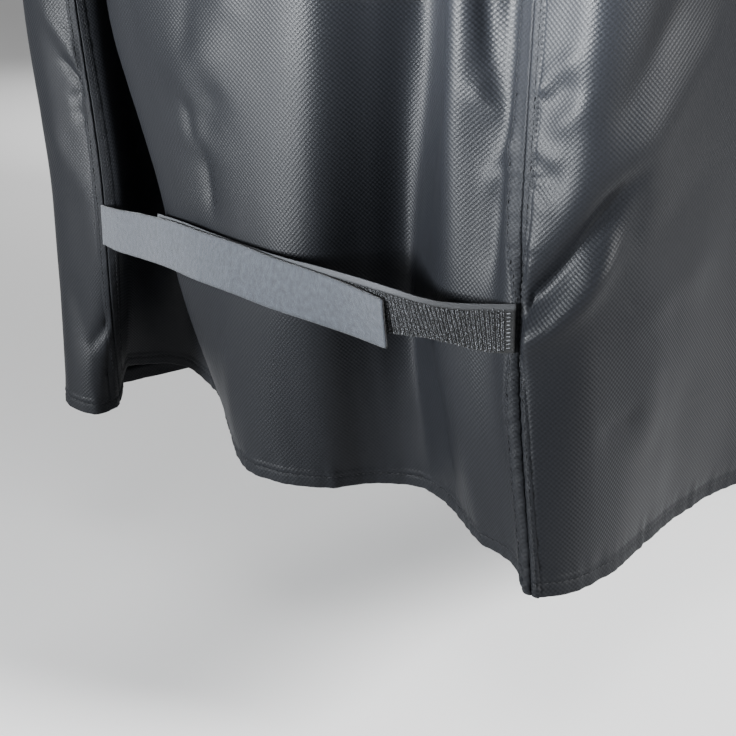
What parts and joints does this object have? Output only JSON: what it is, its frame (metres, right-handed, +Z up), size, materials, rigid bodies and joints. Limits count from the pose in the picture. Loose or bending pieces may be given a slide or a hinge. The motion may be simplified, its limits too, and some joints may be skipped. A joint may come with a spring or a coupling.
{
  "type": "smoker cover",
  "caption": "Fitted fabric cover, open below, with a crowned top, draped hemmed walls and a hook and loop strap that draws one side into deep folds.",
  "frame": {"origin": "under the middle of the top panel, where the thing that wears the cover carries it", "axes": "+X along the length, away from the side with the strap; -Y is the front; +Z up"},
  "size_m": [1.2519, 0.5612, 1.002],
  "materials": {
    "weave": "charcoal woven polyester with a coated back, fine diamond weave and a soft sheen",
    "loop_tape": "matt grey brushed loop pile",
    "hook_tape": "dark nylon hooks in rows between plain woven edges"
  },
  "bodies": {
    "root": {"top_panel": "weave", "front_panel": "weave", "back_panel": "weave", "strap_side_panel": "weave", "plain_side_panel": "weave", "loop_strap": "loop_tape", "hook_strap": "hook_tape"}
  },
  "joints": []
}
